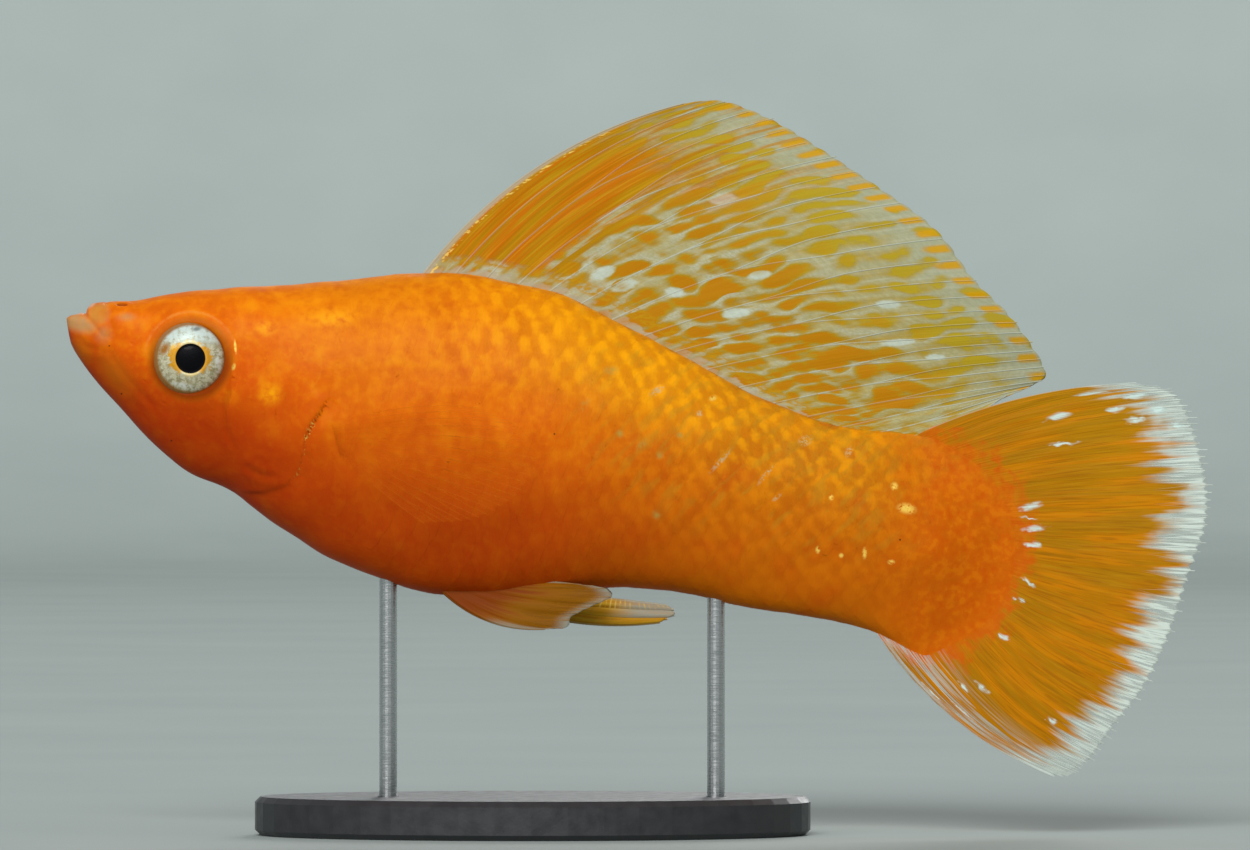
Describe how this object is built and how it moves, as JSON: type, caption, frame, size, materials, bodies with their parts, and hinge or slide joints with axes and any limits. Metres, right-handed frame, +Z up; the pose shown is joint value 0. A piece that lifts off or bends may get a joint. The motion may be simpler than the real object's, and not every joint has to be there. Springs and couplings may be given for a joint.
{
  "type": "sailfin molly",
  "caption": "Life-size still model of an adult male golden sailfin molly, dorsal fin raised, on a plain oval display stand with two thin rods.",
  "frame": {"origin": "centre of the stand's underside, on the table", "axes": "+Z up; the fish swims towards -X, its head up by about 13 degrees, and its left side faces -Y"},
  "size_m": [0.1033, 0.028, 0.0662],
  "materials": {
    "skin": "satin, scaled",
    "eye": "clear gloss over a silver iris and a black pupil",
    "fin": "satin, ribbed by the fin rays",
    "rod": "satin",
    "base": "satin black"
  },
  "bodies": {
    "root": {"head": "skin", "lower_jaw": "skin", "gill_cover_left": "skin", "gill_cover_right": "skin", "trunk": "skin", "tail_stem": "skin", "eye_left": "eye", "eye_right": "eye", "dorsal_fin": "fin", "tail_fin": "fin", "gonopodium": "fin", "pectoral_fin_left": "fin", "pectoral_fin_right": "fin", "pelvic_fin_left": "fin", "pelvic_fin_right": "fin", "stand_base": "base", "stand_rod_front": "rod", "stand_rod_rear": "rod"}
  },
  "joints": []
}
